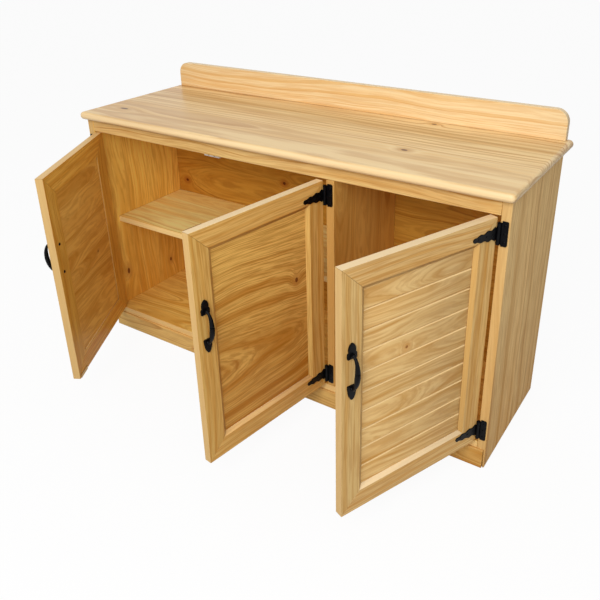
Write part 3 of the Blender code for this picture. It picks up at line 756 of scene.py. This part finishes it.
def screw_heads(places, radius, height, about):
    """Slotted round-head screws, one at each place, that face -Y or are turned about from it."""
    shape = bmesh.new()
    outline = [(reach * radius, rise * height) for reach, rise in HEAD_CURVE]
    outline += [(radius, -HEAD_SUNK), (0.0, -HEAD_SUNK)]
    profile = [shape.verts.new((reach, 0.0, rise)) for reach, rise in outline]
    for first, last in zip(profile, profile[1:]):
        shape.edges.new((first, last))
    bmesh.ops.spin(shape, geom=shape.verts[:] + shape.edges[:], cent=(0, 0, 0), axis=(0, 0, 1),
                   angle=math.tau, steps=HEAD_SIDES, use_merge=True)
    bmesh.ops.remove_doubles(shape, verts=shape.verts, dist=SAME_POINT)
    bmesh.ops.recalc_face_normals(shape, faces=shape.faces)
    slot_half = SLOT_HALF * radius
    for offset in (-slot_half, slot_half):
        everything = shape.verts[:] + shape.edges[:] + shape.faces[:]
        bmesh.ops.bisect_plane(shape, geom=everything, dist=ON_PLANE, plane_co=(offset, 0, 0),
                               plane_no=(1, 0, 0))
    strip = []
    for face in shape.faces:
        middle = face.calc_center_median()
        if abs(middle.x) < slot_half and middle.z > HEAD_RIM * height:
            strip.append(face)
    slot = bmesh.ops.extrude_face_region(shape, geom=strip)["geom"]
    bmesh.ops.translate(shape, verts=corners_of(slot), vec=(0, 0, -SLOT_DEPTH * height))
    bmesh.ops.delete(shape, geom=strip, context="FACES")
    head = shape.verts[:] + shape.edges[:] + shape.faces[:]
    for count, place in enumerate(places):
        copy = bmesh.ops.duplicate(shape, geom=head)["geom"]
        spun = Matrix.Rotation(FIRST_TURN + NEXT_TURN * count, 4, "Z")
        faced = Matrix.Rotation(about, 4, "Z") @ LAID_OVER @ spun
        bmesh.ops.transform(shape, matrix=Matrix.Translation(place) @ faced, verts=corners_of(copy))
    bmesh.ops.delete(shape, geom=corners_of(head), context="VERTS")
    return shape


LEAF_FRONT = -0.0023
LEAF_SCREW_REACH = 0.0128
LEAF_SCREW_RISES = (-0.0195, 0.0, 0.0195)
TONGUE_EDGE = 0.0010
TONGUE_WIDTH = 0.0045
TONGUE_HEIGHT = 0.0300
TONGUE_THICKNESS = 0.00025
TONGUE_MIDDLE = -0.7 * TONGUE_THICKNESS
hinge_iron = lacquered_iron("hinge_iron", luck=0.0)
hung = {}
swings = {}
hinge_middle = {}
for joint in frame["joints"]:
    side = joint["name"].split("_")[0]
    hand = 1 if side == "left" else -1
    pivot = Vector((joint["pos_m"][0], joint["pos_m"][1], 0.0))
    turn = math.radians(-joint["range_deg"][0] * joint["axis"][2])
    hung[side] = (hand, joint["child"], pivot, turn)
    swings[side] = Matrix.Translation(pivot) @ Matrix.Rotation(turn, 4, "Z")
    for end in ("top", "bottom"):
        node = "hinge_leaf_" + side + "_" + end
        low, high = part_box(node)
        middle = (low.z + high.z) / 2
        hinge_middle[side, end] = middle
        shape = rubbed(node, ease=0.0004, shortest=0.0010)
        tongue = Vector((pivot.x - hand * (TONGUE_EDGE + TONGUE_WIDTH / 2), TONGUE_MIDDLE, middle))
        block(shape, tongue, (TONGUE_WIDTH, TONGUE_THICKNESS, TONGUE_HEIGHT))
        fit(node + "_iron", shape, hinge_iron, "black_iron", "carcass", node)
        reach = pivot.x - hand * LEAF_SCREW_REACH
        seats = [Vector((reach, LEAF_FRONT, middle + rise)) for rise in LEAF_SCREW_RISES]
        shape = screw_heads(seats, radius=0.0031, height=0.0012, about=0.0)
        fit(node + "_screws", shape, hinge_iron, "black_iron", "carcass")
        pin = "hinge_pin_" + side + "_" + end
        shape = rubbed(pin, ease=0.0004, shortest=0.0006)
        fit(pin + "_iron", shape, hinge_iron, "black_iron", "carcass", pin)

# Each door is a pine frame, mitred at its corners, bevelled along the inner edge and grooved for the
# panel. The outer doors have panels of ten horizontal boards with V-grooves between them, and the middle
# door has one wide flat-sawn board.


def toned(timber, shares):
    """The same timber with the red, green and blue of its face a little deeper or paler."""
    deeper = {}
    for key in ("spring", "summer", "amber"):
        deeper[key] = tuple(value * share for value, share in zip(timber[key], (*shares, 1.0)))
    return {**timber, **deeper}


# Painted light and shade on the doors: the inner faces take a warmer painted tone for the shade and bounced
# light inside the bays, edges and bevels that face the light are painted pale as highlights and those facing
# away are painted darker as shade, and the V-grooves of the boarded panels are painted pale on the lower
# slope and darker on the upper.
door_pine = {
    **honey_pine,
    "spring": chip(217, 181, 119),
    "summer": chip(170, 112, 45),
    "amber": chip(197, 142, 66),
    "reverse_painted_light": (1.18, 1.07, 0.60),
    "gloss": 0.08,
}
stile_pine = {
    **toned(door_pine, (1.03, 1.05, 1.05)),
    "contrast": 0.35,
    "strand": 0.40,
    "edge_light_share": 0.80,
    "painted_shade_share": 0.10,
}
rail_pine = {
    **toned(door_pine, (1.10, 1.10, 1.12)),
    "contrast": 0.35,
    "strand": 0.40,
    "edge_light_share": 0.80,
}
# The middle panel is painted paler towards its top and deeper lower down, a painted gradient of the light
# from above.
plain_panel_pine = {
    **door_pine,
    "spring": chip(241, 195, 106),
    "summer": chip(171, 106, 29),
    "amber": chip(194, 128, 42),
    "amber_share": 0.85,
    "line": 0.55,
    "contrast": 0.95,
    "strand": 0.50,
    "sapwood": (0.15, 0.31),
    "painted_light_across": (0.44, -1.6),
}
boarded_panel_pine = {
    **door_pine,
    "spring": chip(232, 195, 132),
    "summer": chip(184, 126, 54),
    "line": 0.62,
    "contrast": 0.45,
    "strand": 0.36,
    "stave_spread": 0.06,
    "edge": chip(240, 210, 154),
    "edge_light_share": 0.80,
    "knot": chip(138, 84, 36),
    "knot_ring": chip(172, 116, 56),
}
# The painted highlight colours of the lit edges and bevels, for each stile and for each door's rails, and
# how squarely an edge has to face the light to take them.
stile_edge_light = {"hinge_stile": chip(206, 160, 92), "free_stile": chip(211, 174, 116)}
rail_edge_light = {"left": chip(228, 192, 134), "middle": chip(236, 212, 171), "right": chip(236, 212, 171)}
edge_light_slopes = {"left": (0.40, 0.70), "middle": (0.62, 0.85), "right": (0.40, 0.70)}
STILE_CENTRES = {"hinge_stile": 0.030, "free_stile": 0.380}
STILE_HEART_ASIDE = 0.070
STILE_LEAN = 0.012
RAIL_CENTRES = {"top": 0.6425, "bottom": 0.1045}
RAIL_HEART_ASIDE = 0.065
RAIL_LEAN = 0.02
FRAME_HEART_DEPTH = 0.045
PANEL_FIRST_BOARD = 0.1335
PANEL_BOARD = 0.048
panel_knots = {
    "left": [(0.150, 0.350, 0.0030, 1.5)],
    "middle": [(-0.093, 0.436, 0.0075, 0.7)],
    "right": [(-0.2346, 0.4372, 0.0038, 1.1)],
}
door_luck = {"left": 101.0, "middle": 137.0, "right": 173.0}
LUCK_STEP = 3.0
# Painted light: the left and middle doors stand in more shade, and their colour is painted warmer and less
# blue for the shade and bounced light on them.
door_painted_light = {"left": (1.03, 1.0, 0.86), "middle": (1.07, 1.0, 0.74), "right": (1.0, 1.0, 1.0)}
for side, (hand, body, pivot, turn) in hung.items():
    members = []
    for label, reach in STILE_CENTRES.items():
        timber = {**stile_pine, "edge": stile_edge_light[label], "edge_light_slope": edge_light_slopes[side]}
        heart = (hand * reach + STILE_HEART_ASIDE, FRAME_HEART_DEPTH, STILE_LEAN)
        members.append((side + "_" + label, timber, "Z", heart, hand))
    for end, rise in RAIL_CENTRES.items():
        timber = {**rail_pine, "edge": rail_edge_light[side], "edge_light_slope": edge_light_slopes[side]}
        heart = (rise - RAIL_HEART_ASIDE, FRAME_HEART_DEPTH, RAIL_LEAN)
        members.append((side + "_" + end + "_rail", timber, "X", heart, 1))
    luck = door_luck[side]
    for node, timber, grain, heart, pale in members:
        luck += LUCK_STEP
        wood = pine(node + "_pine", toned(timber, door_painted_light[side]), grain, "Y", heart, place=pivot,
                    turn=turn, ring=0.0058, waver=0.8, pale=pale, reverse=1, luck=luck)
        shape = rubbed(node, ease=0.0009, shortest=0.06)
        fit(node + "_wood", shape, wood, "pine_front", body, node)
    node = side + "_panel"
    luck += LUCK_STEP
    if side == "middle":
        wood = pine(node + "_pine", plain_panel_pine, "X", "Y", heart=(0.300, 0.075, 0.10), place=pivot,
                    turn=turn, ring=0.0085, waver=1.8, knots=panel_knots[side], pale=1, reverse=1, luck=luck)
    else:
        wood = pine(node + "_pine", boarded_panel_pine, "X", "Y", heart=(0.0, 0.050, 0.04), place=pivot,
                    turn=turn, ring=0.0048, staves=(PANEL_FIRST_BOARD, PANEL_BOARD), spread=1.6, waver=1.5,
                    knots=panel_knots[side], pale=1, reverse=1, luck=luck)
    shape = rubbed(node, ease=0.0005, shortest=0.06)
    fit(node + "_wood", shape, wood, "pine_front", body, node)

# The door halves of the T-hinges are lobed iron straps, rolled round the pin in the middle of the barrel
# and held to the frame by three round-head screws each.
STRAP_FRONT = 0.0025
STRAP_SCREW_REACHES = (0.0150, 0.0330, 0.0560)
for side, (hand, body, *_) in hung.items():
    for end in ("top", "bottom"):
        node = side + "_strap_" + end
        shape = rubbed(node, ease=0.0004, shortest=0.0010)
        fit(node + "_iron", shape, hinge_iron, "black_iron", body, node)
        middle = hinge_middle[side, end]
        seats = [Vector((hand * reach, STRAP_FRONT, middle)) for reach in STRAP_SCREW_REACHES]
        shape = screw_heads(seats, radius=0.0028, height=0.0011, about=0.0)
        bmesh.ops.transform(shape, matrix=swings[side], verts=shape.verts)
        fit(node + "_screws", shape, hinge_iron, "black_iron", body)

# The bow pulls are cast iron in the same black: a bellied grip with a collar at each end, standing on two
# leaf-shaped feet, the upper one larger. Two screws from inside the door hold each pull.
PULL_REACH = 0.385
PULL_HEIGHT = 0.444
PULL_HALF = 0.040
FOOT_BACK = 0.0045
FOOT_THICKNESS = 0.0030
FOOT_BORDER = 0.0016
FOOT_FACE_RISE = 0.0012
UPPER_LEAF = ((0.0104, -0.0092), (0.0117, -0.0078), (0.0118, 0.0012), (0.0108, 0.0044), (0.0086, 0.0058),
              (0.0090, 0.0092), (0.0092, 0.0132), (0.0078, 0.0182), (0.0054, 0.0226), (0.0020, 0.0259))
LOWER_LEAF = ((0.0100, -0.0090), (0.0112, -0.0076), (0.0112, -0.0010), (0.0100, 0.0045),
              (0.0094, 0.0095), (0.0080, 0.0152), (0.0058, 0.0206), (0.0022, 0.0254))
GRIP_BASE = 0.0028
GRIP_BELLY = -0.0157
GRIP_PROFILE = ((0.00, 0.0044), (0.045, 0.0044), (0.060, 0.0053), (0.085, 0.0053), (0.105, 0.0035),
                (0.18, 0.0034), (0.30, 0.0043), (0.42, 0.0055), (0.53, 0.0061), (0.63, 0.0058),
                (0.74, 0.0047), (0.84, 0.0036), (0.895, 0.0034), (0.915, 0.0050), (0.940, 0.0050),
                (0.955, 0.0043), (1.00, 0.0043))
GRIP_STEPS = 60
GRIP_SIDES = 18
BELLY_SKEW = 0.88
SCREW_SEAT = 0.0251
SHANK_RADIUS = 0.0020
SHANK_LENGTH = 0.0240
SHANK_SIDES = 16


def faces_of(parts):
    """The faces among the parts that an operator gives back."""
    return [part for part in parts if isinstance(part, bmesh.types.BMFace)]


def cast_leaf(shape, foot, point, half_outline):
    """A leaf-shaped foot, its face raised inside a sloping border."""
    right = [Vector((half, FOOT_BACK, foot + point * rise)) for half, rise in half_outline]
    left = [Vector((-corner.x, corner.y, corner.z)) for corner in reversed(right)]
    rim = [shape.verts.new(corner) for corner in right + left]
    plate = bmesh.ops.contextual_create(shape, geom=rim)["faces"]
    raised = bmesh.ops.extrude_face_region(shape, geom=plate)["geom"]
    bmesh.ops.translate(shape, verts=corners_of(raised), vec=(0, -FOOT_THICKNESS, 0))
    front = faces_of(raised)
    bmesh.ops.inset_region(shape, faces=front, thickness=FOOT_BORDER, depth=0.0, use_even_offset=True)
    inner = {corner for face in front for corner in face.verts}
    bmesh.ops.translate(shape, verts=list(inner), vec=(0, -FOOT_FACE_RISE, 0))


def grip_radius(share):
    """The grip's radius at a share of its length, straight between the points of its profile."""
    for (low_share, low_radius), (high_share, high_radius) in zip(GRIP_PROFILE, GRIP_PROFILE[1:]):
        if low_share <= share <= high_share:
            gain = (high_radius - low_radius) * (share - low_share)
            radius = low_radius + gain / (high_share - low_share)
    return radius


def bellied_grip(shape):
    """The grip, drawn out ring by ring along half an ellipse from the upper foot to the lower one."""
    ring = bmesh.ops.create_circle(shape, cap_ends=True, segments=GRIP_SIDES, radius=1.0)["verts"]
    cap = ring[0].link_faces[0]
    before = Matrix.Identity(4)
    bow = GRIP_BELLY - GRIP_BASE
    for step in range(GRIP_STEPS + 1):
        share = step / GRIP_STEPS
        swung = math.pi * share
        raised = math.pi * share ** BELLY_SKEW
        spine = Vector((0, GRIP_BASE + bow * math.sin(raised), PULL_HEIGHT + PULL_HALF * math.cos(swung)))
        heading = Vector((0, bow * math.cos(raised), -PULL_HALF * math.sin(swung))).to_track_quat("Z", "X")
        sized = Matrix.Scale(grip_radius(share), 4)
        placed = Matrix.Translation(spine) @ heading.to_matrix().to_4x4() @ sized
        if step > 0:
            grown = bmesh.ops.extrude_face_region(shape, geom=[cap])["geom"]
            if step > 1:
                bmesh.ops.delete(shape, geom=[cap], context="FACES_ONLY")
            cap = faces_of(grown)[0]
            ring = corners_of(grown)
        bmesh.ops.transform(shape, matrix=placed @ before.inverted(), verts=ring)
        before = placed


pull_iron = lacquered_iron("pull_iron", luck=0.37)
for side, (hand, body, *_) in hung.items():
    stile = swings[side] @ Matrix.Translation((hand * PULL_REACH, 0, 0))
    shape = bmesh.new()
    cast_leaf(shape, PULL_HEIGHT + PULL_HALF, 1, UPPER_LEAF)
    cast_leaf(shape, PULL_HEIGHT - PULL_HALF, -1, LOWER_LEAF)
    bellied_grip(shape)
    bmesh.ops.recalc_face_normals(shape, faces=shape.faces)
    bmesh.ops.transform(shape, matrix=stile, verts=shape.verts)
    fit(side + "_pull", shape, pull_iron, "black_iron", body, side + "_handle")
    for end, rise in (("top", PULL_HEIGHT + PULL_HALF), ("bottom", PULL_HEIGHT - PULL_HALF)):
        node = side + "_handle_screw_" + end
        shape = screw_heads([Vector((0, SCREW_SEAT, rise))], radius=0.0042, height=0.0022, about=math.pi)
        shank = Matrix.Translation((0, SCREW_SEAT - SHANK_LENGTH / 2, rise)) @ LAID_OVER
        bmesh.ops.create_cone(shape, cap_ends=True, segments=SHANK_SIDES, radius1=SHANK_RADIUS,
                              radius2=SHANK_RADIUS, depth=SHANK_LENGTH, matrix=shank)
        bmesh.ops.transform(shape, matrix=stile, verts=shape.verts)
        fit(node + "_iron", shape, pull_iron, "black_iron", body, node)

# The strikes are small plates cut from steel strip, brushed and then zinc-plated with a yellow finish.
# Two flat screws hold each one inside its door, where it meets the magnets of its catch.


def yellow_zinc(name, place, turn):
    """Zinc plating with a yellow finish over brush lines that run along the plate."""
    material, shader, spot = new_finish(name)
    spot = spot.laid(place, turn)
    lines = spot.mottle(waves=(25.0, 4000.0, 4000.0), detail=2.0)
    cloud = spot.mottle(waves=(90.0, 90.0, 90.0), detail=2.0)
    plated = (lines * 0.6 + cloud * 0.4).blend(chip(148, 108, 52), chip(196, 158, 92))
    plated.feed(shader, "Base Color")
    lines.between(0.34, 0.54).feed(shader, "Roughness")
    shader.inputs["Metallic"].default_value = 1.0
    return material


STRIKE_REACH = 0.380
STRIKE_BACK = 0.0263
STRIKE_SCREW_SPACING = 0.030
for side, (hand, body, pivot, turn) in hung.items():
    node = side + "_strike"
    low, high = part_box(node)
    middle = (low.z + high.z) / 2
    steel = yellow_zinc(node + "_zinc", pivot, turn)
    shape = rubbed(node, ease=0.0003, shortest=0.0010)
    fit(node + "_plate", shape, steel, "strike_steel", body, node)
    reaches = [hand * STRIKE_REACH + step * STRIKE_SCREW_SPACING for step in (-0.5, 0.5)]
    seats = [Vector((reach, STRIKE_BACK, middle)) for reach in reaches]
    shape = screw_heads(seats, radius=0.0024, height=0.00018, about=math.pi)
    bmesh.ops.transform(shape, matrix=swings[side], verts=shape.verts)
    fit(node + "_screws", shape, steel, "strike_steel", body)

# The studio has a pale paper floor and a white surround. The camera and reflections see both as white,
# while the light that they throw on the piece stays plain. Two broad soft lamps stand in front, and the
# camera is where the photograph was taken from.
FLOOR_HALF = 40.0
FLOOR_DROP = 0.0003
floor_shape = bmesh.new()
bmesh.ops.create_grid(floor_shape, x_segments=1, y_segments=1, size=FLOOR_HALF)
bmesh.ops.translate(floor_shape, verts=floor_shape.verts, vec=(0, 0, -FLOOR_DROP))
floor_mesh = bpy.data.meshes.new("floor")
floor_shape.to_mesh(floor_mesh)
floor_shape.free()
floor = bpy.data.objects.new("floor", floor_mesh)
bpy.context.scene.collection.objects.link(floor)


def looked_at(bench):
    """1 for what the camera sees, straight or in a reflection or through glass."""
    straight = bench.node("ShaderNodeLightPath", {}, {}, "Is Camera Ray")
    mirrored = bench.node("ShaderNodeLightPath", {}, {}, "Is Glossy Ray")
    refracted = bench.node("ShaderNodeLightPath", {}, {}, "Is Transmission Ray")
    return straight.maths("MAXIMUM", mirrored).maths("MAXIMUM", refracted)


WHITE = (1.0, 1.0, 1.0, 1.0)
FLOOR_GREY = (0.40, 0.40, 0.40, 1.0)
PAPER_WHITE = (0.90, 0.90, 0.90, 1.0)
PAPER_GLOW = 0.93
paper = bpy.data.materials.new("floor_paper")
paper.use_nodes = True
bench = Wire(paper.node_tree, None)
matte = bench.node("ShaderNodeBsdfDiffuse", {}, {"Color": FLOOR_GREY})
bright = bench.node("ShaderNodeBsdfDiffuse", {}, {"Color": PAPER_WHITE})
glow = bench.node("ShaderNodeEmission", {}, {"Color": WHITE, "Strength": 1.0})
seen = bench.node("ShaderNodeMixShader", {}, {0: PAPER_GLOW, 1: bright, 2: glow})
mixed = bench.node("ShaderNodeMixShader", {}, {0: looked_at(bench), 1: matte, 2: seen})
mixed.feed(paper.node_tree.nodes["Material Output"], "Surface")
floor_mesh.materials.append(paper)

AMBIENT = 0.50
BACKDROP = 0.97
world = bpy.data.worlds.new("studio")
world.use_nodes = True
bpy.context.scene.world = world
bench = Wire(world.node_tree, None)
ambient = bench.node("ShaderNodeBackground", {}, {"Color": WHITE, "Strength": AMBIENT})
backdrop = bench.node("ShaderNodeBackground", {}, {"Color": WHITE, "Strength": BACKDROP})
sky = bench.node("ShaderNodeMixShader", {}, {0: looked_at(bench), 1: ambient, 2: backdrop})
sky.feed(world.node_tree.nodes["World Output"], "Surface")

LAMP_TARGET = Vector((0.0, 0.0, 0.40))
for name, place, size, power in (("key_lamp", Vector((0.60, -2.55, 2.25)), 1.6, 58.0),
                                 ("fill_lamp", Vector((1.67, -2.14, 1.40)), 1.8, 14.0)):
    lamp = bpy.data.lights.new(name, "AREA")
    lamp.size = size
    lamp.energy = power
    holder = bpy.data.objects.new(name, lamp)
    holder.location = place
    holder.rotation_euler = (LAMP_TARGET - place).to_track_quat("-Z", "Y").to_euler()
    bpy.context.scene.collection.objects.link(holder)

camera = bpy.data.cameras.new("camera")
camera.sensor_width = 36.0
camera.sensor_fit = "HORIZONTAL"
camera.lens = 41.4448
camera.shift_x = -0.03279
camera.shift_y = -0.10453
viewpoint = bpy.data.objects.new("camera", camera)
viewpoint.location = (1.03663, -1.31859, 1.24267)
viewpoint.rotation_euler = [math.radians(angle) for angle in (65.2371, 0.7133, 32.8802)]
bpy.context.scene.collection.objects.link(viewpoint)
bpy.context.scene.camera = viewpoint
bpy.context.scene.view_settings.view_transform = "Standard"
